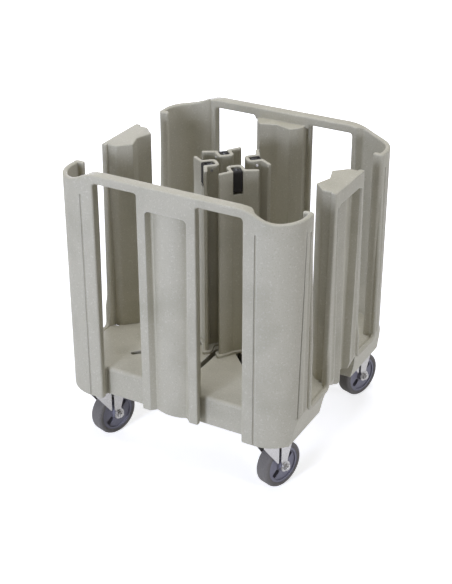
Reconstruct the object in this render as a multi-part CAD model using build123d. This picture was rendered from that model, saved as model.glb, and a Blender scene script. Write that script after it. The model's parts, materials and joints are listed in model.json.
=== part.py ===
from build123d import *
from math import atan2, cos, degrees, radians, sin, sqrt, tan
import os

# Plate dolly in millimetres: +X right, +Y to the rear, +Z up, floor at Z = 0.

# Moulded body
body_width = 672.0
body_depth = 642.0
rail_top = 806.0
rim_top = 779.0
rail_height = 24.0
rail_depth = 30.0
rim_drop_start = 190.0
rim_drop_end = 302.0
base_bottom = 164.0
base_height = 80.0
skirt_inset_front = 34.0
skirt_inset_side = 16.0
sill_inset = 1.0
sill_width = 10.0
sill_drop = 8.0
core_corner = 40.0
post_wall = 13.0
post_corner_radius = 90.0
post_front_length = 129.0
post_side_length = 122.0
post_lip_reach = 29.0
post_end_radius = 11.0
jamb_taper = 16.0
post_groove_radius = 3.0
post_groove_top = 746.0
post_groove_drift = 18.0
flute_top = 738.0
flute_bottom = 252.0
flute_radius_top = 4.0
flute_radius_bottom = 20.0
flute_depth = 3.0
column_front_width = 164.0
column_side_width = 170.0
column_side_flare = 12.0
column_depth = 72.0
column_nose_width = 90.0
nose_groove = 15.0
column_flange = 15.0
flange_edge = 4.0
column_step_front = 12.0
column_step_side = 8.0
column_shoulder = 40.0
column_cheek_width = 122.0
column_cheek_depth = 56.0
column_bottom = 177.0
rib_front = 24.0
rib_side = 20.0
rib_side_low = 38.0
recess_top = 743.0
recess_depth = 25.0
recess_depth_low = 14.0
recess_depth_side = 24.0
recess_taper = 7.0
bulge_inset = 4.0
ridge_inset = 10.0
ridge_inset_low = 5.0
notch_half_width = 98.0
notch_shoulder = 200.0
notch_apex = 78.0
notch_top = 240.0
notch_tongue = 203.0
notch_depth = 50.0
rim_edge = 5.0
window_corner = 8.0
column_edge = 2.5

# Deck slots
slot_width = 15.0
slot_start = 30.0
axial_slot_start = 62.0
axial_slot_end = 172.0

# Towers: outward distances run along the deck diagonals
tower_top = 770.0
tower_wall = 9.5
tower_groove_width = 25.0
tower_back = 32.0
tower_depth = 42.0
tower_span = 106.0
tower_sweep = 14.0
tower_travel = 208.0
pocket_margin = 6.0
tower_edge = 2.5
rear_right_rest = 10.0
foot_thickness = 7.0
foot_margin = 8.0
tongue_length = 30.0
tongue_depth = 18.0
slide_clearance = 0.5
rest_clearance = 0.3

# Tower clamps
pin_diameter = 6.0
pin_head_diameter = 8.0
pin_head_height = 2.0
pin_drop = 12.0
lever_head_radius = 10.0
lever_length = 46.0
lever_web = 5.0
lever_clearance = 1.0
rod_diameter = 8.0
rod_blade = 5.0
rod_stroke = 4.0
rod_clearance = 0.5
clamp_plate_length = 44.0
clamp_plate_width = 40.0
clamp_plate_thickness = 6.0
clamp_nut_width = 13.0
clamp_nut_height = 7.0
thread_tail = 4.0

# Casters
caster_inset_x = 82.0
caster_inset_y = 69.0
caster_trail = 33.0
caster_yaw = -18.0
wheel_diameter = 127.0
tyre_width = 38.0
tyre_depth = 13.5
tyre_shoulder = 7.0
hub_rim_depth = 6.0
hub_rim_width = 36.0
hub_web = 29.0
hub_boss_diameter = 30.0
hub_window_width = 15.0
hub_window_inset = 3.0
hub_window_phase = 130.0
axle_diameter = 10.0
axle_head_width = 17.0
axle_head_height = 6.0
axle_tail = 3.0
fork_gap = 48.0
fork_plate = 3.0
fork_top = 151.0
fork_crease = 8.0
fork_slit = 9.0
fork_back = 58.0
fork_lead = 45.0
fork_lead_angle = 12.0
fork_lead_bottom = 80.0
fork_end_radius = 15.0
fork_neck_rise = 20.0
fork_neck_back = 7.0
fork_boss_diameter = 25.0
fork_boss_height = 2.0
plate_length = 92.0
plate_width = 64.0
plate_thickness = 3.5
plate_corner = 8.0
race_diameter = 50.0
race_gap = 0.3
king_diameter = 12.0
king_head_diameter = 22.0
king_head_height = 3.0
bolt_spacing_x = 46.0
bolt_spacing_y = 76.0
bolt_diameter = 8.0
bolt_head_width = 13.0
bolt_head_height = 5.3
bolt_grip = 26.0
running_clearance = 0.05
hub_side_clearance = 0.5

# Brake pedals
brake_pivot_forward = 27.0
brake_pivot_drop = 15.0
brake_journal = 7.0
brake_arm_width = 11.0
brake_arm_height = 8.0
brake_reach = 18.0
brake_toe_width = 24.0
brake_toe_length = 10.0
brake_toe_drop = 3.0
brake_shoe_radius = 5.0
brake_shoe_forward = 20.0
brake_gap = 3.0

# Derived places
half_width = body_width / 2
half_depth = body_depth / 2
deck_top = base_bottom + base_height
skirt_x = half_width - skirt_inset_side
sill_x = half_width - sill_inset
sill_z = deck_top - sill_drop
skirt_y = half_depth - skirt_inset_front
window_outer = half_width - post_front_length
gap_outer = half_depth - post_side_length
rim_drop = rail_top - rim_top
rim_bend = ((rim_drop_end - rim_drop_start) ** 2 + rim_drop ** 2) / (4 * rim_drop)
arc_x = half_width - post_corner_radius
arc_y = half_depth - post_corner_radius
groove_half = tower_groove_width / 2
tower_half = groove_half + tower_wall
tower_front = tower_back + tower_depth
rod_u = tower_back + tower_wall + 10.0
pin_u = rod_u + 3.5
pin_z = tower_top - pin_drop
pocket_bottom = pin_z - lever_length - pocket_margin
foot_bottom = deck_top + rest_clearance
column_foot_z = foot_bottom + foot_thickness
tongue_start = rod_u - tongue_length / 2
slot_end = tongue_start + tongue_length + tower_travel + 2.5
clamp_top = base_bottom - rest_clearance
nut_top = clamp_top - clamp_plate_thickness
caster_x = half_width - caster_inset_x
caster_y = half_depth - caster_inset_y
axle_z = wheel_diameter / 2
tread_radius = wheel_diameter / 2
core_radius = tread_radius - tyre_depth
fork_half = fork_gap / 2 + fork_plate
race_bottom = fork_top + race_gap
quadrants = [("front_left", -1, -1), ("front_right", 1, -1), ("rear_left", -1, 1), ("rear_right", 1, 1)]
braked = ["front_right", "rear_right"]


def prism(outline, low, high):
    return Pos(0, 0, low) * extrude(outline, amount=high - low)


def outline(*points):
    return make_face(Polyline(*points, close=True))


def rounded(face, radius, *corners):
    ends = [min(face.vertices(), key=lambda v: (v.center() - Vector(x, y, 0)).length) for x, y in corners]
    return fillet(ends, radius)


def bar(x0, x1, y0, y1, z0, z1):
    return Pos((x0 + x1) / 2, (y0 + y1) / 2, (z0 + z1) / 2) * Box(x1 - x0, y1 - y0, z1 - z0)


def along_y(face, y0, y1):
    # a face drawn in X and Z, swept from y0 to y1
    return Pos(0, y1, 0) * Rot(90, 0, 0) * extrude(face, amount=y1 - y0)


def along_x(face, x0, x1):
    # a face drawn in Y and Z, swept from x0 to x1
    return Pos(x0, 0, 0) * Rot(0, 0, 90) * Rot(90, 0, 0) * extrude(face, amount=x1 - x0)


def is_level(edge):
    return abs(edge.tangent_at(0.5).Z) < 0.9


def hexagon(width, height):
    return extrude(RegularPolygon(width / 2, 6, major_radius=False), amount=height)


def four_ways(shape):
    front = mirror(shape, about=Plane.XZ)
    return [shape, front, mirror(shape, about=Plane.YZ), mirror(front, about=Plane.YZ)]


def rim_cutter():
    # everything above the dropping rim, seen from the front
    span = rim_drop_end - rim_drop_start
    middle = (rim_drop_start + span / 2, rail_top - rim_drop / 2)
    upper = RadiusArc((rim_drop_start, rail_top), middle, rim_bend)
    lower = RadiusArc(middle, (rim_drop_end, rim_top), -rim_bend)
    rest = Polyline((rim_drop_end, rim_top), (half_width + 5, rim_top), (half_width + 5, rail_top + 5),
                    (rim_drop_start, rail_top + 5), (rim_drop_start, rail_top))
    cutter = along_y(make_face(upper + lower + rest), -half_depth - 5, half_depth + 5)
    return [cutter, mirror(cutter, about=Plane.YZ)]


def tapered(x0, y0, z0, r0, x1, y1, z1, r1):
    # a round bar standing between two level circles
    return loft([Pos(x0, y0, z0) * Circle(r0), Pos(x1, y1, z1) * Circle(r1)], ruled=True)


def flute(x, y, drift):
    # a shallow groove in the face at x, widening downwards, with a rounded lower end
    low_x = x + flute_radius_bottom - flute_depth
    high_x = x + flute_radius_top - flute_depth
    groove = tapered(low_x, y + drift, flute_bottom, flute_radius_bottom,
                     high_x, y, flute_top, flute_radius_top)
    return [groove, Pos(low_x, y + drift, flute_bottom) * Sphere(flute_radius_bottom)]


def corner_post():
    jamb = half_depth - rail_depth
    inner_x = half_width - post_wall
    inner_y = half_depth - post_wall
    lip = half_width - post_lip_reach
    edge = Polyline((arc_x, half_depth), (window_outer, half_depth), (window_outer, jamb),
                    (window_outer + 12, jamb), (window_outer + 27, inner_y), (arc_x, inner_y))
    inside = RadiusArc((arc_x, inner_y), (inner_x, arc_y), post_corner_radius - post_wall)
    end = Polyline((inner_x, arc_y), (inner_x, gap_outer + post_wall), (lip, gap_outer + post_wall),
                   (lip, gap_outer), (half_width, gap_outer), (half_width, arc_y))
    outside = RadiusArc((half_width, arc_y), (arc_x, half_depth), -post_corner_radius)
    face = make_face(edge + inside + end + outside)
    face = rounded(face, 6, (window_outer, half_depth), (window_outer, jamb),
                   (lip, gap_outer), (lip, gap_outer + post_wall))
    face = rounded(face, post_end_radius, (half_width, gap_outer))
    face = rounded(face, 9, (window_outer + 12, jamb), (window_outer + 27, inner_y))
    post = prism(face, base_bottom + 1, rail_top)
    for cutter in rim_cutter():
        post = post - cutter
    post = fillet([e for e in post.edges() if e.center().Z > rim_top - 0.5 and is_level(e)], rim_edge)
    post = fillet([e for e in post.edges() if e.center().Z < base_bottom + 1.5], rim_edge)
    under = rail_top - rail_height
    jamb_cut = outline((jamb - 1, base_bottom), (jamb + jamb_taper, base_bottom),
                       (jamb, under), (jamb - 1, under))
    post = post - along_x(jamb_cut, window_outer - 1, window_outer + 30)
    front = tapered(arc_x - 4, half_depth, base_bottom, post_groove_radius,
                    arc_x - 4, half_depth, post_groove_top, post_groove_radius)
    post = post - front - Pos(arc_x - 4, half_depth, post_groove_top) * Sphere(post_groove_radius)
    high = arc_y + 11
    low = high + post_groove_drift
    places = [arc_x + sqrt(post_corner_radius ** 2 - (y - arc_y) ** 2) for y in (low, high)]
    post = post - tapered(places[0], low, base_bottom, post_groove_radius,
                          places[1], high, post_groove_top, post_groove_radius / 2)
    for groove in flute(half_width, gap_outer + 23, 7):
        post = post - groove
    return post


def post_floor():
    inset = post_wall / 2
    face = outline((window_outer + inset, half_depth - inset), (window_outer + inset, gap_outer + inset),
                   (half_width - inset, gap_outer + inset), (half_width - inset, half_depth - inset))
    face = rounded(face, post_corner_radius - inset, (half_width - inset, half_depth - inset))
    return prism(face, base_bottom, deck_top)


def base_core():
    half = [(sill_x - sill_width, deck_top), (sill_x, sill_z), (skirt_x, base_bottom)]
    across = outline(*half, *[(-x, z) for x, z in reversed(half)])
    for side in (-1, 1):
        across = rounded(across, 6, (side * (sill_x - sill_width), deck_top), (side * sill_x, sill_z))
    deep = outline((-skirt_y, base_bottom), (skirt_y, base_bottom), (skirt_y, deck_top), (-skirt_y, deck_top))
    deep = rounded(deep, 10, (skirt_y, deck_top), (-skirt_y, deck_top))
    plan = prism(RectangleRounded(2 * half_width, 2 * skirt_y, core_corner), base_bottom, deck_top)
    return along_y(across, -skirt_y, skirt_y) & along_x(deep, -half_width, half_width) & plan


def lean_cutter():
    # everything outside the side walls of the base, which lean inwards to the bottom
    out = half_width + 30
    low = base_bottom - 1
    high = sill_z + 6
    face = outline((half_width, high), (skirt_x, low), (out, low), (out, high))
    cutter = along_y(face, -half_depth - 5, half_depth + 5)
    return [cutter, mirror(cutter, about=Plane.YZ)]


def notch_cutter():
    # the opening in the base under the foot of each side column
    half = [(notch_half_width, base_bottom - 1), (notch_half_width, notch_shoulder),
            (notch_apex + 8, notch_top), (notch_apex, notch_top), (12, notch_tongue)]
    face = outline(*half, *[(-y, z) for y, z in reversed(half)])
    for side in (-1, 1):
        face = rounded(face, 8, (side * notch_half_width, notch_shoulder))
        face = rounded(face, 14, (side * 12, notch_tongue))
    cutter = along_x(face, half_width - notch_depth, half_width + 5)
    return [cutter, mirror(cutter, about=Plane.YZ)]


def column_section(exterior, body):
    # plan of a column's body: rounded cheeks, and a nose with a shallow groove
    nose = exterior - column_depth
    tip = column_nose_width / 2
    shoulder = exterior - column_shoulder
    cheek = (column_cheek_width / 2, exterior - column_cheek_depth)
    side = [(body, exterior - 2), (body, shoulder), cheek, (tip, nose)]
    face = outline(*side, (0, nose + nose_groove), *[(-x, y) for x, y in reversed(side)])
    for sign in (-1, 1):
        face = rounded(face, 3, (sign * tip, nose))
        face = rounded(face, 10, (sign * body, shoulder), (sign * cheek[0], cheek[1]))
    return rounded(face, 12, (0, nose + nose_groove))


def bulge_section(exterior, reach, groove, depth):
    # plan of the space in front of the rounded panel of the front and rear columns
    half = [(reach, exterior + 1), (reach, exterior), (groove, exterior - depth)]
    bulge = ThreePointArc(half[-1], (0, exterior - bulge_inset), (-groove, exterior - depth))
    left = Polyline(*[(-x, y) for x, y in reversed(half)])
    face = make_face(Polyline(*half) + bulge + left + Line((-reach, exterior + 1), half[0]))
    return rounded(face, 5, (groove, exterior - depth), (-groove, exterior - depth))


def ridge_section(exterior, reach, groove, depth, inset):
    # plan of the space in front of the ridge of a side column
    half = [(reach, exterior + 1), (reach, exterior), (groove, exterior - depth)]
    face = outline(*half, (0, exterior - inset), *[(-x, y) for x, y in reversed(half)])
    face = rounded(face, 5, (groove, exterior - depth), (-groove, exterior - depth))
    return rounded(face, 8, (0, exterior - inset))


def column(exterior, half, flare, step):
    solid = prism(column_section(exterior, half - step), column_bottom, rim_top)
    inside = exterior - column_depth / 2
    solid = fillet([e for e in solid.edges() if e.center().Z > rim_top - 0.5 and e.center().Y < inside],
                   column_edge)
    side = [(half + flare, column_bottom), (half + flare, deck_top), (half, rim_top)]
    flange = outline(*side, *[(-x, z) for x, z in reversed(side)])
    flange = along_y(flange, exterior - column_flange, exterior)
    upright = [e for e in flange.edges() if abs(e.center().X) > half - 1 and not is_level(e)]
    return solid + fillet(upright, flange_edge)


def recess(exterior, low, high, reach_low, reach):
    # the space between a low and a high plan, its upper corners rounded
    below = column_bottom - 2
    cut = loft([Pos(0, 0, below) * low, Pos(0, 0, recess_top) * high], ruled=True)
    wide = reach_low + 1
    frame = outline((-wide, below), (wide, below), (reach, recess_top), (-reach, recess_top))
    frame = rounded(frame, 12, (reach, recess_top), (-reach, recess_top))
    return cut & along_y(frame, exterior - column_depth, exterior + 2)


def front_column():
    half = column_front_width / 2
    reach = half - rib_front
    high = bulge_section(half_depth, reach, reach - recess_taper, recess_depth)
    low = bulge_section(half_depth, reach, reach - 2 * recess_taper, recess_depth_low)
    return column(half_depth, half, 0, column_step_front) - recess(half_depth, low, high, reach, reach)


def side_column():
    half = column_side_width / 2
    reach = half - rib_side
    reach_low = half - rib_side_low
    high = ridge_section(half_width, reach, reach - recess_taper, recess_depth_side, ridge_inset)
    low = ridge_section(half_width, reach_low, reach_low - recess_taper, recess_depth_side, ridge_inset_low)
    solid = column(half_width, half, column_side_flare, column_step_side)
    solid = solid - recess(half_width, low, high, reach_low, reach)
    for groove in flute(half_width, 16 - half, 4):
        groove = Rot(0, 0, 90) * groove
        solid = solid - groove - mirror(groove, about=Plane.YZ)
    return solid


def rail():
    # drawn from the front: the rail, the wall over the column and the rounded upper window corners
    inner = column_front_width / 2
    outer = window_outer
    reach = outer + 12
    under = rail_top - rail_height
    foot = under - window_corner - 1
    start = min(rim_drop_start, outer - 10)
    shoulder, end = [rail_top - rim_bend + sqrt(rim_bend ** 2 - (x - start) ** 2) for x in (outer, reach)]
    half = [(start, rail_top), (outer, shoulder), (reach, end - rest_clearance), (reach, foot),
            (outer, foot), (outer, under), (inner, under), (inner, foot)]
    face = outline(*half, *[(-x, z) for x, z in reversed(half)])
    for side in (-1, 1):
        face = rounded(face, window_corner, (side * outer, under), (side * inner, under))
    solid = along_y(face, half_depth - rail_depth, half_depth)
    middle = half_depth - rail_depth / 2
    long_edges = [e for e in solid.edges() if abs(abs(e.center().Y - middle) - rail_depth / 2) < 0.1
                  and abs(e.center().X) < reach - 0.1 and e.center().Z > foot + 0.1]
    return fillet(long_edges, rim_edge)


def bolt_places():
    return [(sx * caster_x + bx * bolt_spacing_x / 2, sy * caster_y + by * bolt_spacing_y / 2)
            for _, sx, sy in quadrants for bx in (-1, 1) for by in (-1, 1)]


def moulded_body():
    body = base_core()
    behind = half_width - recess_depth_side - 5
    clear = column_side_width / 2
    room = bar(behind, half_width + 1, -clear, clear, base_bottom - 1, deck_top + 1)
    body = body - room - mirror(room, about=Plane.YZ)
    for post, floor in zip(four_ways(corner_post()), four_ways(post_floor())):
        body = body + post + floor
    front = front_column()
    side = side_column()
    for turn, piece in ((0, front), (180, front), (90, side), (-90, side)):
        body = body + Rot(0, 0, turn) * piece
    for turn in (0, 180):
        body = body + Rot(0, 0, turn) * rail()
    for cutter in lean_cutter() + notch_cutter():
        body = body - cutter
    slot_low = base_bottom - 1
    slot_high = deck_top + 1
    for turn in (45, 135, 225, 315):
        slot = Pos((slot_start + slot_end) / 2, 0) * SlotOverall(slot_end - slot_start, slot_width)
        body = body - Rot(0, 0, turn) * prism(slot, slot_low, slot_high)
    for turn in (0, 90, 180, 270):
        slot = SlotOverall(axial_slot_end - axial_slot_start, slot_width)
        slot = Pos((axial_slot_start + axial_slot_end) / 2, 0) * slot
        body = body - Rot(0, 0, turn) * prism(slot, slot_low, slot_high)
    depth = bolt_grip - plate_thickness + 2
    for x, y in bolt_places():
        body = body - Pos(x, y, base_bottom) * Cylinder(bolt_diameter / 2 + running_clearance, depth,
                                                        align=(Align.CENTER, Align.CENTER, Align.MIN))
    return body


def tower_profile():
    lean = tan(radians(tower_sweep))
    slant = tower_wall / cos(radians(tower_sweep))
    tip = tower_span / 2
    tip_u = tower_front + (tip - groove_half) * lean
    root_u = tower_front + (tower_half - groove_half) * lean - slant
    half = [(tower_back, tower_half), (root_u, tower_half), (tip_u - slant, tip), (tip_u, tip),
            (tower_front, groove_half), (tower_back + tower_wall, groove_half)]
    face = outline(*half, *[(u, -v) for u, v in reversed(half)])
    for side in (-1, 1):
        face = rounded(face, 13, (tower_back, side * tower_half))
        face = rounded(face, 6, (tower_back + tower_wall, side * groove_half))
        face = rounded(face, 4, (root_u, side * tower_half), (tower_front, side * groove_half))
        face = rounded(face, 3.5, (tip_u - slant, side * tip), (tip_u, side * tip))
    return face


def tower_column():
    tube = prism(tower_profile(), column_foot_z, tower_top)
    tube = fillet([e for e in tube.edges() if e.center().Z > tower_top - 0.5], tower_edge)
    hole = Pos(pin_u, 0, pin_z) * Rot(90, 0, 0) * Cylinder(pin_diameter / 2 + running_clearance, tower_span)
    hole = hole & bar(tower_back, tower_front + 9, -tower_half - 0.5, tower_half + 0.5,
                      pin_z - pin_diameter, pin_z + pin_diameter)
    floor = bar(tower_back + tower_wall / 2, tower_front, 1 - tower_half, tower_half - 1,
                column_foot_z, pocket_bottom)
    way = Pos(rod_u, 0, column_foot_z) * Cylinder(rod_diameter / 2 + rod_clearance, 2 * tower_top)
    return tube + (floor - way) - hole


def tower_foot():
    lean = tan(radians(tower_sweep))
    tip = tower_span / 2 + foot_margin
    front_u = tower_front + foot_margin
    tip_u = front_u + (tip - groove_half) * lean
    back = tower_back - foot_margin + 2
    half = [(back, tower_back - 10), (tower_back + 4, tower_half + 4), (tower_back + 19, tower_half + 7),
            (tip + 8, tip), (tip_u, tip), (front_u, groove_half)]
    face = outline(*half, *[(u, -v) for u, v in reversed(half)])
    for side in (-1, 1):
        face = rounded(face, 5, (tip + 8, side * tip), (tip_u, side * tip))
        face = rounded(face, 6, (back, side * (tower_back - 10)))
    plate = prism(face, foot_bottom, column_foot_z)
    tongue_half = slot_width / 2 - slide_clearance
    tongue = bar(tongue_start, tongue_start + tongue_length, -tongue_half, tongue_half,
                 deck_top - tongue_depth, foot_bottom)
    tongue = fillet(tongue.edges().filter_by(Axis.Z), 4)
    hole = Pos(rod_u, 0, deck_top) * Cylinder(rod_diameter / 2 + rod_clearance, 4 * tongue_depth)
    return plate + tongue - hole


def lever():
    half = groove_half - lever_clearance
    low = -lever_length
    front = tower_front - pin_u - 0.5
    side = outline((0, lever_head_radius), (front, lever_head_radius), (front, low), (front - 8, low),
                   (-6, -14), (-lever_head_radius, 0))
    side = rounded(side, 3, (front, low), (front - 8, low))
    side = rounded(side, 5, (front, lever_head_radius))
    cheeks = along_y(side, -half, half) + Rot(90, 0, 0) * Cylinder(lever_head_radius, 2 * half)
    gap = rod_blade / 2 + rod_clearance
    back = -lever_head_radius - 1
    web = front - lever_web
    inner = bar(back, web, -gap, gap, low + 6, lever_head_radius + 1)
    wide = rod_diameter / 2 + rod_clearance
    inner = inner + bar(back, web, -wide, wide, low - 1, 1 - lever_head_radius)
    bore = Rot(90, 0, 0) * Cylinder(pin_diameter / 2 + running_clearance, 3 * half)
    return Pos(pin_u, 0, pin_z) * (cheeks - inner - bore)


def pivot_pin():
    shank = Cylinder(pin_diameter / 2, 2 * tower_half)
    head = Pos(0, 0, tower_half + pin_head_height / 2) * Cylinder(pin_head_diameter / 2, pin_head_height)
    return Pos(pin_u, 0, pin_z) * Rot(90, 0, 0) * (shank + head + mirror(head, about=Plane.XY))


def tie_rod():
    slot_half = pin_diameter / 2 + rod_clearance
    blade_top = pin_z + lever_head_radius - 1
    blade_low = pin_z - lever_head_radius - rod_stroke
    blade = bar(rod_u - 5, pin_u + slot_half + 3, -rod_blade / 2, rod_blade / 2, blade_low, blade_top)
    slot = SlotCenterToCenter(rod_stroke + 1, 2 * slot_half, rotation=90)
    slot = along_y(Pos(pin_u, pin_z + rod_stroke / 2) * slot, -rod_blade, rod_blade)
    tail = nut_top - clamp_nut_height - thread_tail
    shank = Pos(rod_u, 0, tail) * Cylinder(rod_diameter / 2, blade_low + 4 - tail,
                                           align=(Align.CENTER, Align.CENTER, Align.MIN))
    return blade - slot + shank


def clamp_plate():
    plate = bar(rod_u - clamp_plate_length / 2, rod_u + clamp_plate_length / 2, -clamp_plate_width / 2,
                clamp_plate_width / 2, nut_top, clamp_top)
    plate = fillet(plate.edges().filter_by(Axis.Z), 8)
    hole = Cylinder(rod_diameter / 2 + running_clearance, 4 * clamp_plate_thickness)
    return plate - Pos(rod_u, 0, nut_top) * hole


def clamp_nut():
    nut = hexagon(clamp_nut_width, clamp_nut_height)
    nut = nut - Cylinder(rod_diameter / 2 + running_clearance, 4 * clamp_nut_height)
    return Pos(rod_u, 0, nut_top - clamp_nut_height) * nut


# Caster pieces stand with the swivel axis at X = Y = 0, the wheel trailing along +Y, the axle along X.

def caster_plate():
    plate = extrude(RectangleRounded(plate_width, plate_length, plate_corner), amount=plate_thickness)
    low = base_bottom - plate_thickness
    race = Pos(0, 0, race_bottom) * Cylinder(race_diameter / 2, low - race_bottom,
                                             align=(Align.CENTER, Align.CENTER, Align.MIN))
    foot = fork_top - fork_plate - race_gap
    king = Pos(0, 0, foot) * Cylinder(king_diameter / 2, low - foot,
                                      align=(Align.CENTER, Align.CENTER, Align.MIN))
    head = Pos(0, 0, foot) * Cylinder(king_head_diameter / 2, king_head_height,
                                      align=(Align.CENTER, Align.CENTER, Align.MAX))
    solid = Pos(0, 0, low) * plate + race + king + head
    for x in (-1, 1):
        for y in (-1, 1):
            place = Pos(x * bolt_spacing_x / 2, y * bolt_spacing_y / 2, low)
            solid = solid - place * Cylinder(bolt_diameter / 2 + running_clearance, 4 * plate_thickness)
    return solid


def fork_leg():
    # one leg on the +X side, drawn in Y and Z
    start = fork_crease + fork_slit
    neck = caster_trail + fork_neck_back
    side = outline((start, fork_top), (fork_back, fork_top), (fork_back, fork_top - 14),
                   (neck, axle_z + fork_neck_rise), (neck, axle_z), (2 * caster_trail - neck, axle_z),
                   (start, axle_z + fork_neck_rise))
    side = rounded(side, 8, (fork_back, fork_top - 14))
    leg = along_x(side, fork_half - fork_plate, fork_half)
    end = Pos(0, 0, fork_half) * Cylinder(fork_end_radius, fork_plate,
                                          align=(Align.CENTER, Align.CENTER, Align.MAX))
    lead = outline((0, fork_lead_bottom), (0, fork_top), (-fork_lead, fork_top), (-fork_lead, fork_top - 9))
    lead = rounded(lead, 2, (0, fork_lead_bottom))
    lead = rounded(lead, 4, (-fork_lead, fork_top - 9))
    flange = Pos(fork_half, fork_crease, 0) * Rot(0, 0, -fork_lead_angle) * along_x(lead, -fork_plate, 0)
    return leg + wheel(end) + flange


def wheel(solid):
    return Pos(0, caster_trail, axle_z) * Rot(0, 90, 0) * solid


def caster_fork():
    leg = fork_leg()
    bend = radians(fork_lead_angle)
    front_y = fork_crease - fork_lead * cos(bend)
    front_x = fork_half - fork_lead * sin(bend)
    crown = outline((fork_half, fork_back), (fork_half, fork_crease), (front_x, front_y),
                    (-front_x, front_y), (-fork_half, fork_crease), (-fork_half, fork_back))
    solid = prism(crown, fork_top - fork_plate, fork_top) + leg + mirror(leg, about=Plane.YZ)
    boss = Pos(fork_half, caster_trail, axle_z) * Rot(0, 90, 0) * Cylinder(
        fork_boss_diameter / 2, fork_boss_height, align=(Align.CENTER, Align.CENTER, Align.MIN))
    solid = solid + boss + mirror(boss, about=Plane.YZ)
    solid = solid - Pos(0, 0, fork_top) * Cylinder(king_diameter / 2 + running_clearance, 4 * fork_plate)
    return solid - wheel(Cylinder(axle_diameter / 2 + running_clearance, 4 * fork_half))


def brake_hole():
    place = Pos(0, brake_pivot_forward, fork_top - brake_pivot_drop)
    return place * Rot(0, 90, 0) * Cylinder(brake_journal / 2 + running_clearance, 2 * fork_half + 2)


def wheel_hub():
    boss = Cylinder(hub_boss_diameter / 2, fork_gap - 2 * hub_side_clearance)
    web = Cylinder(core_radius, hub_web)
    rim = Cylinder(core_radius, hub_rim_width) - Cylinder(core_radius - hub_rim_depth, hub_rim_width + 2)
    solid = boss + web + rim
    low = hub_boss_diameter / 2 + hub_window_inset
    high = core_radius - hub_rim_depth - hub_window_inset
    window = Pos((low + high) / 2, 0, 0) * extrude(RectangleRounded(high - low, hub_window_width, 4),
                                                  amount=hub_web, both=True)
    for turn in (0, 180):
        solid = solid - Rot(0, 0, hub_window_phase + turn) * window
    return wheel(solid - Cylinder(axle_diameter / 2 + running_clearance, 2 * fork_gap))


def tyre():
    ring = Cylinder(tread_radius, tyre_width)
    ring = fillet(ring.edges(), tyre_shoulder)
    return wheel(ring - Cylinder(core_radius, 2 * tyre_width))


def axle_bolt():
    seat = fork_half + fork_boss_height
    tail = seat + axle_head_height + axle_tail
    shank = Pos(0, 0, (tail - seat) / 2) * Cylinder(axle_diameter / 2, tail + seat)
    head = Pos(0, 0, -seat - axle_head_height) * hexagon(axle_head_width, axle_head_height)
    return wheel(shank + head)


def axle_nut():
    nut = hexagon(axle_head_width, axle_head_height)
    nut = nut - Cylinder(axle_diameter / 2 + running_clearance, 4 * axle_head_height)
    return wheel(Pos(0, 0, fork_half + fork_boss_height) * nut)


def brake_pedal():
    pivot_z = fork_top - brake_pivot_drop
    journal = Rot(0, 90, 0) * Cylinder(brake_journal / 2, 2 * fork_half)
    barrel = Rot(0, 90, 0) * Cylinder(brake_arm_height / 2 + 1, fork_gap - 2 * hub_side_clearance)
    arm = bar(-brake_arm_width / 2, brake_arm_width / 2, -brake_pivot_forward - brake_reach, 0,
              -brake_arm_height / 2, brake_arm_height / 2)
    toe_y = -brake_pivot_forward - brake_reach
    tip_y = toe_y - brake_toe_length
    half = brake_arm_height / 2
    toe = outline((toe_y + 6, half), (tip_y, half - brake_toe_drop), (tip_y, 2 - half - brake_toe_drop),
                  (toe_y + 6, -half))
    toe = rounded(toe, 2, (tip_y, half - brake_toe_drop))
    toe = along_x(toe, -brake_toe_width / 2, brake_toe_width / 2)
    shoe_y = brake_pivot_forward - brake_shoe_forward
    reach = tread_radius + brake_shoe_radius + brake_gap
    shoe_z = axle_z + sqrt(reach ** 2 - (shoe_y - caster_trail) ** 2) - pivot_z
    shoe = Pos(0, -brake_shoe_forward, shoe_z) * Rot(0, 90, 0) * Cylinder(brake_shoe_radius, brake_arm_width)
    neck = bar(-brake_arm_width / 2, brake_arm_width / 2, -brake_shoe_forward - brake_shoe_radius,
               -brake_shoe_forward + brake_shoe_radius, shoe_z, 0)
    return Pos(0, brake_pivot_forward, pivot_z) * (journal + barrel + arm + toe + shoe + neck)


def caster_bolts():
    head_z = base_bottom - plate_thickness
    bolt = Pos(0, 0, head_z - bolt_head_height) * hexagon(bolt_head_width, bolt_head_height)
    bolt = bolt + Pos(0, 0, head_z) * Cylinder(bolt_diameter / 2, bolt_grip,
                                               align=(Align.CENTER, Align.CENTER, Align.MIN))
    return Compound(children=[Pos(x, y, 0) * bolt for x, y in bolt_places()])


os.makedirs("parts", exist_ok=True)


def save(name, shape):
    export_step(shape, "parts/" + name + ".step")


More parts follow.
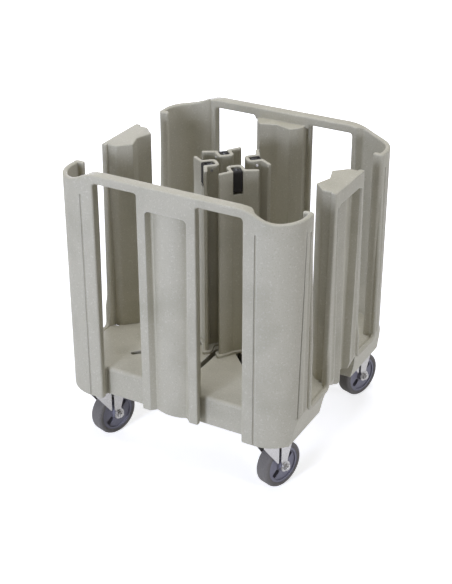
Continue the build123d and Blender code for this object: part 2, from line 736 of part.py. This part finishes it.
save("moulded_body", moulded_body())
save("caster_bolts", caster_bolts())
tower_pieces = {"tower_column": tower_column(), "tower_foot": tower_foot(), "clamp_lever": lever(),
                "lever_pin": pivot_pin(), "tie_rod": tie_rod(), "clamp_plate": clamp_plate(),
                "clamp_nut": clamp_nut()}
caster_pieces = {"caster_fork": caster_fork(), "wheel_hub": wheel_hub(), "tyre": tyre(),
                 "axle_bolt": axle_bolt(), "axle_nut": axle_nut()}
tower_rest = {"front_left": 0.0, "front_right": 0.0, "rear_left": 0.0, "rear_right": rear_right_rest}
mounting_plate = caster_plate()
pedal = brake_pedal()
for corner, sx, sy in quadrants:
    diagonal = Rot(0, 0, degrees(atan2(sy, sx))) * Pos(tower_rest[corner], 0, 0)
    for name, piece in tower_pieces.items():
        save(name + "_" + corner, diagonal * piece)
    place = Pos(sx * caster_x, sy * caster_y, 0)
    save("caster_plate_" + corner, place * mounting_plate)
    for name, piece in caster_pieces.items():
        if name == "caster_fork" and corner in braked:
            piece = piece - brake_hole()
        save(name + "_" + corner, place * Rot(0, 0, caster_yaw) * piece)
    if corner in braked:
        save("brake_pedal_" + corner, place * Rot(0, 0, caster_yaw) * pedal)
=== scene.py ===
import bpy, json, math
from mathutils import Matrix, Vector


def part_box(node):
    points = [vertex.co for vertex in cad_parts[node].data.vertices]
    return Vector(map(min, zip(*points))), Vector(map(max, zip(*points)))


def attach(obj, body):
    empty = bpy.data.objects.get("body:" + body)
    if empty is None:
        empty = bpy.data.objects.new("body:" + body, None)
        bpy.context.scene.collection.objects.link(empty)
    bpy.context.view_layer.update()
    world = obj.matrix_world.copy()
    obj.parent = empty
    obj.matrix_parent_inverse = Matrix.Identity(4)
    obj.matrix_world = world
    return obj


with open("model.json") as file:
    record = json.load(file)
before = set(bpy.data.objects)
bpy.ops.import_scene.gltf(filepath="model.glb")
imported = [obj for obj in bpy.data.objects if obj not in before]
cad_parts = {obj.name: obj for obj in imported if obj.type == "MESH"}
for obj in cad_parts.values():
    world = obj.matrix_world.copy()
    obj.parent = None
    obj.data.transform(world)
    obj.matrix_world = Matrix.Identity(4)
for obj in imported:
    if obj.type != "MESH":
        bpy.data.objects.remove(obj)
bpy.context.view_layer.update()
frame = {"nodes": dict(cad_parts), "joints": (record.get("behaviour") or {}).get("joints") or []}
nodes = frame["nodes"]
joints = {joint["name"]: joint for joint in frame["joints"]}
corners = ("front_left", "front_right", "rear_left", "rear_right")
scene = bpy.context.scene
scene.view_settings.view_transform = "Standard"
print("frame loaded:", len(nodes), "nodes")

# camera at the photograph's angle, place in metres, down and turn in degrees
cameraSet = {"place": (1.4801, -2.7029, 2.0336), "down": 28.077, "turn": 28.899, "lens": 80.203,
             "sensor": 36.0, "farthest": 50.0}


def makeCamera():
    data = bpy.data.cameras.new("photoCamera")
    data.lens = cameraSet["lens"]
    data.sensor_width = cameraSet["sensor"]
    data.clip_end = cameraSet["farthest"]
    camera = bpy.data.objects.new("photoCamera", data)
    camera.location = cameraSet["place"]
    camera.rotation_euler = (math.radians(90 - cameraSet["down"]), 0, math.radians(cameraSet["turn"]))
    scene.collection.objects.link(camera)
    scene.camera = camera


makeCamera()
print("camera placed")

# where a Mix node keeps its colour sockets
mixSocket = {"factor": 0, "first": 6, "second": 7, "result": 2}


def mathNode(tree, operation, first, second):
    # first is a socket, second a socket or a plain number
    node = tree.nodes.new("ShaderNodeMath")
    node.operation = operation
    tree.links.new(first, node.inputs[0])
    if isinstance(second, (int, float)):
        node.inputs[1].default_value = second
    else:
        tree.links.new(second, node.inputs[1])
    return node.outputs[0]


def rangeNode(tree, value, low, high):
    # from 0 at low to 1 at high, held there beyond
    node = tree.nodes.new("ShaderNodeMapRange")
    node.inputs["From Min"].default_value = low
    node.inputs["From Max"].default_value = high
    tree.links.new(value, node.inputs["Value"])
    return node


def colourMix(tree, factor, first, second):
    node = tree.nodes.new("ShaderNodeMix")
    node.data_type = "RGBA"
    tree.links.new(factor, node.inputs[mixSocket["factor"]])
    tree.links.new(first, node.inputs[mixSocket["first"]])
    tree.links.new(second, node.inputs[mixSocket["second"]])
    return node.outputs[mixSocket["result"]]


def backgroundRays(tree):
    # 1 for what looks at the white background straight, in a mirror or through glass
    path = tree.nodes.new("ShaderNodeLightPath")
    total = path.outputs["Is Camera Ray"]
    for kind in ("Is Glossy Ray", "Is Transmission Ray"):
        total = mathNode(tree, "MAXIMUM", total, path.outputs[kind])
    return total


# a box overhead, one behind, one to the front and one square to the right side, sizes in metres
lightSet = {
    "over": {"place": (0.0, -0.1, 3.4), "aim": (0, 0, 0.4), "size": (1.8, 1.8), "watts": 66,
             "tint": (0.93, 0.96, 1.11)},
    "behind": {"place": (-2.4, 3.0, 0.8), "aim": (0, 0, 0.5), "size": (1.6, 1.2), "watts": 40,
               "tint": (0.91, 0.955, 1.2)},
    "front": {"place": (-0.5, -3.1, 1.2), "aim": (0, 0, 0.5), "size": (0.7, 0.8), "watts": 54,
              "tint": (0.86, 0.935, 1.25)},
    "right": {"place": (4.2, 0.0, 1.0), "aim": (0, 0, 0.5), "size": (1.0, 1.2), "watts": 47,
              "tint": (0.91, 0.955, 1.2)},
}


def makeLights():
    for name, part in lightSet.items():
        data = bpy.data.lights.new(name + "Box", "AREA")
        data.shape = "RECTANGLE"
        data.size, data.size_y = part["size"]
        data.energy = part["watts"]
        data.color = part["tint"]
        lamp = bpy.data.objects.new(name + "Box", data)
        lamp.location = part["place"]
        aim = Vector(part["aim"]) - Vector(part["place"])
        lamp.rotation_euler = aim.to_track_quat("-Z", "Y").to_euler()
        scene.collection.objects.link(lamp)


# the room lights the object weakly and is seen as plain white
roomSet = {"tint": (1.0, 0.96, 0.86, 1), "light": 0.12, "seen": (1, 1, 1, 1)}


def makeRoom():
    world = bpy.data.worlds.new("paleRoom")
    scene.world = world
    world.use_nodes = True
    tree = world.node_tree
    tree.nodes.clear()
    lit = tree.nodes.new("ShaderNodeBackground")
    lit.inputs["Color"].default_value = roomSet["tint"]
    lit.inputs["Strength"].default_value = roomSet["light"]
    seen = tree.nodes.new("ShaderNodeBackground")
    seen.inputs["Color"].default_value = roomSet["seen"]
    mix = tree.nodes.new("ShaderNodeMixShader")
    out = tree.nodes.new("ShaderNodeOutputWorld")
    link = tree.links.new
    link(backgroundRays(tree), mix.inputs[0])
    link(lit.outputs[0], mix.inputs[1])
    link(seen.outputs[0], mix.inputs[2])
    link(mix.outputs[0], out.inputs["Surface"])


# the floor glows white away from the dolly and less under it, where it keeps a soft shadow
floorSet = {"half": 9.0, "color": (0.8, 0.8, 0.79, 1), "near": 0.5, "far": 1.6, "nearGlow": 0.7,
            "farGlow": 0.98}


def makeFloor():
    half = floorSet["half"]
    mesh = bpy.data.meshes.new("paleFloor")
    outline = [(-half, -half, 0), (half, -half, 0), (half, half, 0), (-half, half, 0)]
    mesh.from_pydata(outline, [], [(0, 1, 2, 3)])
    floor = bpy.data.objects.new("paleFloor", mesh)
    scene.collection.objects.link(floor)
    material = bpy.data.materials.new("paleFloor")
    material.use_nodes = True
    tree = material.node_tree
    tree.nodes.clear()
    diffuse = tree.nodes.new("ShaderNodeBsdfDiffuse")
    diffuse.inputs["Color"].default_value = floorSet["color"]
    glow = tree.nodes.new("ShaderNodeEmission")
    place = tree.nodes.new("ShaderNodeTexCoord")
    away = tree.nodes.new("ShaderNodeVectorMath")
    away.operation = "LENGTH"
    add = tree.nodes.new("ShaderNodeAddShader")
    out = tree.nodes.new("ShaderNodeOutputMaterial")
    link = tree.links.new
    link(place.outputs["Object"], away.inputs[0])
    fade = rangeNode(tree, away.outputs["Value"], floorSet["near"], floorSet["far"])
    fade.inputs["To Min"].default_value = floorSet["nearGlow"]
    fade.inputs["To Max"].default_value = floorSet["farGlow"]
    link(mathNode(tree, "MULTIPLY", backgroundRays(tree), fade.outputs["Result"]), glow.inputs["Strength"])
    link(diffuse.outputs[0], add.inputs[0])
    link(glow.outputs[0], add.inputs[1])
    link(add.outputs[0], out.inputs["Surface"])
    mesh.materials.append(material)


makeLights()
makeRoom()
makeFloor()
print("light and floor made")


def newGroup(name, inputs, outputs):
    # an empty shader group with named sockets, which each material sets
    group = bpy.data.node_groups.new(name, "ShaderNodeTree")
    for label, kind in inputs:
        group.interface.new_socket(label, in_out="INPUT", socket_type="NodeSocket" + kind)
    for label, kind in outputs:
        group.interface.new_socket(label, in_out="OUTPUT", socket_type="NodeSocket" + kind)
    return group, group.nodes.new("NodeGroupInput"), group.nodes.new("NodeGroupOutput")


# each layer's scale as a share of the grain's, its detail, and the noise levels it comes up between
speckleSet = {"roughness": 0.55,
              "grain": {"scale": 1.0, "detail": 3.0, "from": 0.56, "to": 0.72},
              "fleck": {"scale": 0.45, "detail": 2.0, "from": 0.58, "to": 0.74},
              "drift": {"scale": 0.02, "detail": 2.0, "from": 0.5, "to": 0.9}}


def makeSpeckle():
    # dark and pale grains moulded into the plastic, over a slow drift of tone
    group, source, target = newGroup("mouldSpeckle", [
        ("Vector", "Vector"), ("Color", "Color"), ("Dark", "Color"), ("Pale", "Color"), ("Grain", "Float"),
        ("Amount", "Float")], [("Color", "Color"), ("Height", "Float")])
    link = group.links.new
    tone = source.outputs["Color"]
    for layer, over in (("grain", "Dark"), ("fleck", "Pale"), ("drift", "Dark")):
        part = speckleSet[layer]
        noise = group.nodes.new("ShaderNodeTexNoise")
        noise.inputs["Detail"].default_value = part["detail"]
        noise.inputs["Roughness"].default_value = speckleSet["roughness"]
        link(mathNode(group, "MULTIPLY", source.outputs["Grain"], part["scale"]), noise.inputs["Scale"])
        link(source.outputs["Vector"], noise.inputs["Vector"])
        shown = rangeNode(group, noise.outputs["Fac"], part["from"], part["to"])
        share = mathNode(group, "MULTIPLY", shown.outputs["Result"], source.outputs["Amount"])
        tone = colourMix(group, share, tone, source.outputs[over])
        if layer == "grain":
            link(noise.outputs["Fac"], target.inputs["Height"])
    link(tone, target.inputs["Color"])
    return group


# flat and sharp: how far the softened normal still agrees with the true one
wearAndHighlightSet = {"samples": 6, "flat": 0.985, "sharp": 0.86, "breakUp": 60.0}


def makeEdgeWearAndHighlight():
    # softened edges, made paler partly by rubbing wear and partly as a painted highlight
    group, source, target = newGroup("edgeWearAndHighlight", [
        ("Vector", "Vector"), ("Color", "Color"), ("Worn And Highlight", "Color"), ("Radius", "Float"),
        ("Amount", "Float")], [("Color", "Color"), ("Normal", "Vector")])
    link = group.links.new
    shape = group.nodes.new("ShaderNodeNewGeometry")
    soft = group.nodes.new("ShaderNodeBevel")
    soft.samples = wearAndHighlightSet["samples"]
    link(source.outputs["Radius"], soft.inputs["Radius"])
    turn = group.nodes.new("ShaderNodeVectorMath")
    turn.operation = "DOT_PRODUCT"
    link(soft.outputs["Normal"], turn.inputs[0])
    link(shape.outputs["Normal"], turn.inputs[1])
    edge = rangeNode(group, turn.outputs["Value"], wearAndHighlightSet["flat"], wearAndHighlightSet["sharp"])
    breakUp = group.nodes.new("ShaderNodeTexNoise")
    breakUp.inputs["Scale"].default_value = wearAndHighlightSet["breakUp"]
    link(source.outputs["Vector"], breakUp.inputs["Vector"])
    patchy = mathNode(group, "MULTIPLY", edge.outputs["Result"], breakUp.outputs["Fac"])
    share = mathNode(group, "MULTIPLY", patchy, source.outputs["Amount"])
    link(colourMix(group, share, source.outputs["Color"], source.outputs["Worn And Highlight"]), target.inputs["Color"])
    link(soft.outputs["Normal"], target.inputs["Normal"])
    return group


# open and closed: the share of open space at which the painted shade starts and is full
paintedShadeSet = {"samples": 8, "open": 0.85, "closed": 0.3}


def makePaintedCreviceShade():
    # painted shade: deep corners and grooves of a piece are darkened by how closed in they are
    group, source, target = newGroup("paintedCreviceShade", [
        ("Color", "Color"), ("Dark", "Color"), ("Depth", "Float"), ("Amount", "Float")], [("Color", "Color")])
    link = group.links.new
    near = group.nodes.new("ShaderNodeAmbientOcclusion")
    near.samples = paintedShadeSet["samples"]
    near.only_local = True
    link(source.outputs["Depth"], near.inputs["Distance"])
    deep = rangeNode(group, near.outputs["AO"], paintedShadeSet["open"], paintedShadeSet["closed"])
    share = mathNode(group, "MULTIPLY", deep.outputs["Result"], source.outputs["Amount"])
    link(colourMix(group, share, source.outputs["Color"], source.outputs["Dark"]), target.inputs["Color"])
    return group


grainSet = {"detail": 4.0, "low": 0.3, "high": 0.7}


def makeGrain():
    # fine variation of roughness and height
    group, source, target = newGroup("fineGrain", [
        ("Vector", "Vector"), ("Scale", "Float"), ("Rough Low", "Float"), ("Rough High", "Float")],
        [("Rough", "Float"), ("Height", "Float")])
    link = group.links.new
    noise = group.nodes.new("ShaderNodeTexNoise")
    noise.inputs["Detail"].default_value = grainSet["detail"]
    link(source.outputs["Vector"], noise.inputs["Vector"])
    link(source.outputs["Scale"], noise.inputs["Scale"])
    span = rangeNode(group, noise.outputs["Fac"], grainSet["low"], grainSet["high"])
    link(source.outputs["Rough Low"], span.inputs["To Min"])
    link(source.outputs["Rough High"], span.inputs["To Max"])
    link(span.outputs["Result"], target.inputs["Rough"])
    link(noise.outputs["Fac"], target.inputs["Height"])
    return group


speckleGroup = makeSpeckle()
wearAndHighlightGroup = makeEdgeWearAndHighlight()
paintedShadeGroup = makePaintedCreviceShade()
grainGroup = makeGrain()


def newMaterial(name):
    material = bpy.data.materials.new(name)
    material.use_nodes = True
    tree = material.node_tree
    shader = tree.nodes["Principled BSDF"]
    place = tree.nodes.new("ShaderNodeTexCoord")
    return material, tree, shader, place.outputs["Object"]


def useGroup(tree, group, values, vector=None):
    node = tree.nodes.new("ShaderNodeGroup")
    node.node_tree = group
    if vector is not None:
        tree.links.new(vector, node.inputs["Vector"])
    for name, value in values.items():
        node.inputs[name].default_value = value
    return node


def addBump(tree, shader, normal, height, distance, strength):
    bump = tree.nodes.new("ShaderNodeBump")
    tree.links.new(normal, bump.inputs["Normal"])
    bump.inputs["Distance"].default_value = distance
    bump.inputs["Strength"].default_value = strength
    tree.links.new(height, bump.inputs["Height"])
    tree.links.new(bump.outputs["Normal"], shader.inputs["Normal"])


# bump, edge and depth in metres; the moulded plastic alone has painted shade in its crevices, with its depth
# and shade
plasticSet = {
    "moulded": {"color": (0.482, 0.452, 0.342, 1), "dark": (0.27, 0.25, 0.172, 1),
                "pale": (0.66, 0.635, 0.53, 1), "grain": 420.0, "amount": 0.5, "rough": (0.42, 0.56),
                "bump": 0.0006, "wearAndHighlight": 1.3, "edge": 0.004, "depth": 0.04, "shade": 0.5},
    "hub": {"color": (0.24, 0.23, 0.26, 1), "dark": (0.15, 0.145, 0.17, 1),
            "pale": (0.34, 0.33, 0.36, 1), "grain": 500.0, "amount": 0.4, "rough": (0.35, 0.5),
            "bump": 0.0002, "wearAndHighlight": 0.6, "edge": 0.0012},
    "black": {"color": (0.011, 0.009, 0.007, 1), "dark": (0.006, 0.005, 0.004, 1),
              "pale": (0.03, 0.027, 0.022, 1), "grain": 500.0, "amount": 0.4, "rough": (0.5, 0.65),
              "bump": 0.0002, "wearAndHighlight": 0.6, "edge": 0.0012},
    "tyre": {"color": (0.185, 0.172, 0.152, 1), "dark": (0.12, 0.112, 0.1, 1),
             "pale": (0.26, 0.245, 0.22, 1), "grain": 350.0, "amount": 0.5, "rough": (0.55, 0.75),
             "bump": 0.0004, "wearAndHighlight": 0.4, "edge": 0.0015},
}
plasticLook = {"specular": 0.2, "bumpStrength": 0.35, "roughGrain": 0.6}
metalSet = {
    "zinc": {"color": (0.43, 0.42, 0.41, 1), "worn": (0.62, 0.61, 0.60, 1), "rough": (0.22, 0.42),
             "grain": 260.0, "bump": 0.00008, "edge": 0.0008},
    "darkSteel": {"color": (0.10, 0.10, 0.11, 1), "worn": (0.30, 0.30, 0.31, 1), "rough": (0.3, 0.5),
                  "grain": 300.0, "bump": 0.00008, "edge": 0.0008},
}
metalLook = {"wearAndHighlight": 0.8, "bumpStrength": 0.4}


def makePlastic(name):
    part = plasticSet[name]
    material, tree, shader, vector = newMaterial(name + "Plastic")
    link = tree.links.new
    speckle = useGroup(tree, speckleGroup, {
        "Color": part["color"], "Dark": part["dark"], "Pale": part["pale"], "Grain": part["grain"],
        "Amount": part["amount"]}, vector)
    # edges turn paler, partly as wear and partly as a painted highlight
    wearAndHighlight = useGroup(tree, wearAndHighlightGroup, {
        "Worn And Highlight": part["pale"], "Amount": part["wearAndHighlight"], "Radius": part["edge"]}, vector)
    grain = useGroup(tree, grainGroup, {
        "Scale": part["grain"] * plasticLook["roughGrain"], "Rough Low": part["rough"][0],
        "Rough High": part["rough"][1]}, vector)
    link(speckle.outputs["Color"], wearAndHighlight.inputs["Color"])
    tone = wearAndHighlight.outputs["Color"]
    # painted shade darkens the crevices of the moulded plastic
    if "shade" in part:
        paintedShadeNode = useGroup(tree, paintedShadeGroup, {
            "Dark": part["dark"], "Depth": part["depth"], "Amount": part["shade"]})
        link(tone, paintedShadeNode.inputs["Color"])
        tone = paintedShadeNode.outputs["Color"]
    link(tone, shader.inputs["Base Color"])
    link(grain.outputs["Rough"], shader.inputs["Roughness"])
    addBump(tree, shader, wearAndHighlight.outputs["Normal"], speckle.outputs["Height"], part["bump"],
            plasticLook["bumpStrength"])
    shader.inputs["Specular IOR Level"].default_value = plasticLook["specular"]
    return material


def makeMetal(name):
    part = metalSet[name]
    material, tree, shader, vector = newMaterial(name + "Metal")
    link = tree.links.new
    shader.inputs["Metallic"].default_value = 1.0
    wearAndHighlight = useGroup(tree, wearAndHighlightGroup, {
        "Color": part["color"], "Worn And Highlight": part["worn"], "Amount": metalLook["wearAndHighlight"],
        "Radius": part["edge"]}, vector)
    grain = useGroup(tree, grainGroup, {
        "Scale": part["grain"], "Rough Low": part["rough"][0], "Rough High": part["rough"][1]}, vector)
    link(wearAndHighlight.outputs["Color"], shader.inputs["Base Color"])
    link(grain.outputs["Rough"], shader.inputs["Roughness"])
    addBump(tree, shader, wearAndHighlight.outputs["Normal"], grain.outputs["Height"], part["bump"],
            metalLook["bumpStrength"])
    return material


finishes = {name: makePlastic(name) for name in plasticSet}
finishes.update({name: makeMetal(name) for name in metalSet})
print("materials made")

# a node's finish, by the start of its name
nodeFinish = {"moulded_body": "moulded", "tower_column": "moulded", "tower_foot": "moulded",
              "clamp_lever": "black", "lever_pin": "zinc", "tie_rod": "darkSteel", "clamp_plate": "black",
              "clamp_nut": "zinc", "caster_plate": "zinc", "caster_fork": "zinc", "axle_bolt": "zinc",
              "axle_nut": "zinc", "wheel_hub": "hub", "tyre": "tyre", "brake_pedal": "black",
              "caster_bolts": "zinc"}


def dressNodes():
    for name, shape in nodes.items():
        kind = next(k for k in nodeFinish if name == k or name.startswith(k + "_"))
        shape.data.materials.clear()
        shape.data.materials.append(finishes[nodeFinish[kind]])


dressNodes()
print("nodes dressed")


def newShape(name, inputs):
    # an empty geometry tree with named inputs
    tree = bpy.data.node_groups.new(name, "GeometryNodeTree")
    tree.interface.new_socket("Geometry", in_out="OUTPUT", socket_type="NodeSocketGeometry")
    keys = {}
    for label, kind in inputs:
        socket = tree.interface.new_socket(label, in_out="INPUT", socket_type="NodeSocket" + kind)
        keys[label] = socket.identifier
    return tree, tree.nodes.new("NodeGroupInput"), tree.nodes.new("NodeGroupOutput"), keys


def sweepCurve(tree, source, target, curve, sides):
    # a round profile along a curve, with its ends closed and its material set
    link = tree.links.new
    profile = tree.nodes.new("GeometryNodeCurvePrimitiveCircle")
    profile.inputs["Resolution"].default_value = sides
    link(source.outputs["Thickness"], profile.inputs["Radius"])
    sweep = tree.nodes.new("GeometryNodeCurveToMesh")
    sweep.inputs["Fill Caps"].default_value = True
    link(curve, sweep.inputs["Curve"])
    link(profile.outputs["Curve"], sweep.inputs["Profile Curve"])
    real = tree.nodes.new("GeometryNodeRealizeInstances")
    link(sweep.outputs["Mesh"], real.inputs["Geometry"])
    coat = tree.nodes.new("GeometryNodeSetMaterial")
    link(real.outputs["Geometry"], coat.inputs["Geometry"])
    link(source.outputs["Material"], coat.inputs["Material"])
    link(coat.outputs["Geometry"], target.inputs["Geometry"])


def growShape(name, shape, values, place, path=()):
    # runs a tree once on a path of points, keeps its mesh and puts it in its place
    tree, keys = shape
    seed = bpy.data.meshes.new(name + "_seed")
    seed.from_pydata(path, [(step, step + 1) for step in range(len(path) - 1)], [])
    piece = bpy.data.objects.new(name, seed)
    scene.collection.objects.link(piece)
    modifier = piece.modifiers.new("shape", "NODES")
    modifier.node_group = tree
    for label, value in values.items():
        modifier[keys[label]] = value
    graph = bpy.context.evaluated_depsgraph_get()
    mesh = bpy.data.meshes.new_from_object(piece.evaluated_get(graph), depsgraph=graph)
    piece.modifiers.clear()
    piece.data = mesh
    mesh.name = name
    mesh.transform(place)
    mesh.update()
    return piece


# two raised rings on each side of a tyre, in metres
beadSet = {"innerRadius": 0.0525, "outerRadius": 0.0555, "thickness": 0.0005, "ringSteps": 96, "sides": 8}


def makeBeadShape():
    # rings on both sides of a tyre, round the X axis
    tree, source, target, keys = newShape("tyreBeads", [
        ("Inner Radius", "Float"), ("Outer Radius", "Float"), ("Side", "Float"), ("Thickness", "Float"),
        ("Material", "Material")])
    link = tree.links.new
    join = tree.nodes.new("GeometryNodeJoinGeometry")
    for which in ("Inner Radius", "Outer Radius"):
        for side in (-1, 1):
            ring = tree.nodes.new("GeometryNodeCurvePrimitiveCircle")
            ring.inputs["Resolution"].default_value = beadSet["ringSteps"]
            link(source.outputs[which], ring.inputs["Radius"])
            place = tree.nodes.new("ShaderNodeCombineXYZ")
            link(mathNode(tree, "MULTIPLY", source.outputs["Side"], side), place.inputs["X"])
            stand = tree.nodes.new("GeometryNodeTransform")
            stand.inputs["Rotation"].default_value = (0, math.pi / 2, 0)
            link(ring.outputs["Curve"], stand.inputs["Geometry"])
            link(place.outputs["Vector"], stand.inputs["Translation"])
            link(stand.outputs["Geometry"], join.inputs["Geometry"])
    sweepCurve(tree, source, target, join.outputs["Geometry"], beadSet["sides"])
    return tree, keys


def turnedTo(axis, point):
    # the local X axis laid along axis, at point
    along = Vector(axis).normalized()
    return Matrix.Translation(point) @ Vector((1, 0, 0)).rotation_difference(along).to_matrix().to_4x4()


def makeBeads():
    shape = makeBeadShape()
    for corner in corners:
        joint = joints["wheel_" + corner + "_roll"]
        low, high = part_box("tyre_" + corner)
        along = Vector(joint["axis"]).normalized()
        middle = (Vector(low) + Vector(high)) / 2
        side = max(abs((vertex.co - middle).dot(along)) for vertex in nodes["tyre_" + corner].data.vertices)
        piece = growShape("tyre_beads_" + corner, shape, {
            "Inner Radius": beadSet["innerRadius"], "Outer Radius": beadSet["outerRadius"], "Side": side,
            "Thickness": beadSet["thickness"], "Material": finishes["tyre"]}, turnedTo(along, middle))
        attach(piece, "wheel_" + corner)


# the thread on the tail of each tie rod below its nut, in metres
threadSet = {"pitch": 0.00125, "thickness": 0.00042, "sunk": 0.0001, "tail": 0.0005, "turnSteps": 24,
             "sides": 6}


def makeThreadShape():
    # a screw thread rising along Z
    tree, source, target, keys = newShape("screwThread", [
        ("Radius", "Float"), ("Turns", "Float"), ("Length", "Float"), ("Thickness", "Float"),
        ("Material", "Material")])
    link = tree.links.new
    spiral = tree.nodes.new("GeometryNodeCurveSpiral")
    spiral.inputs["Resolution"].default_value = threadSet["turnSteps"]
    link(source.outputs["Turns"], spiral.inputs["Rotations"])
    link(source.outputs["Radius"], spiral.inputs["Start Radius"])
    link(source.outputs["Radius"], spiral.inputs["End Radius"])
    link(source.outputs["Length"], spiral.inputs["Height"])
    sweepCurve(tree, source, target, spiral.outputs["Curve"], threadSet["sides"])
    return tree, keys


def makeThreads():
    shape = makeThreadShape()
    for corner in corners:
        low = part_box("tie_rod_" + corner)[0]
        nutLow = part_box("clamp_nut_" + corner)[0][2]
        points = [vertex.co for vertex in nodes["tie_rod_" + corner].data.vertices]
        tail = [point for point in points if point.z < low[2] + threadSet["tail"]]
        centre = sum(tail, Vector()) / len(tail)
        radius = max((point - centre).to_2d().length for point in tail)
        length = nutLow - low[2] - 2 * threadSet["thickness"]
        piece = growShape("rod_thread_" + corner, shape, {
            "Radius": radius - threadSet["sunk"], "Turns": length / threadSet["pitch"], "Length": length,
            "Thickness": threadSet["thickness"], "Material": finishes["zinc"]},
            Matrix.Translation((centre.x, centre.y, low[2] + threadSet["thickness"])))
        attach(piece, "clamp_" + corner)


# the rolled lip round the lower end of each side window, from post to column, in metres
lipSet = {"turn": 0.016, "thickness": 0.0065, "turnSteps": 10, "sides": 16,
          "path": [(0.329, 0.210, 0.70), (0.3365, 0.2055, 0.42), (0.3370, 0.2055, 0.2385),
                   (0.3355, 0.0925, 0.2385), (0.3350, 0.0915, 0.30), (0.3265, 0.0835, 0.38)]}


def makeLipShape():
    # a rolled edge along a path of straight runs with rounded turns
    tree, source, target, keys = newShape("rolledLip", [
        ("Geometry", "Geometry"), ("Turn", "Float"), ("Thickness", "Float"), ("Material", "Material")])
    link = tree.links.new
    path = tree.nodes.new("GeometryNodeMeshToCurve")
    link(source.outputs["Geometry"], path.inputs["Mesh"])
    turn = tree.nodes.new("GeometryNodeFilletCurve")
    turn.mode = "POLY"
    turn.inputs["Count"].default_value = lipSet["turnSteps"]
    turn.inputs["Limit Radius"].default_value = True
    link(path.outputs["Curve"], turn.inputs["Curve"])
    link(source.outputs["Turn"], turn.inputs["Radius"])
    sweepCurve(tree, source, target, turn.outputs["Curve"], lipSet["sides"])
    return tree, keys


def makeLips():
    shape = makeLipShape()
    for corner in corners:
        across = 1 if corner.endswith("right") else -1
        along = 1 if corner.startswith("rear") else -1
        piece = growShape("window_lip_" + corner, shape, {
            "Turn": lipSet["turn"], "Thickness": lipSet["thickness"], "Material": finishes["moulded"]},
            Matrix(), [(across * x, along * y, z) for x, y, z in lipSet["path"]])
        piece.data.shade_smooth()
        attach(piece, "frame")


makeBeads()
makeThreads()
makeLips()
print("beads, threads and lips made")
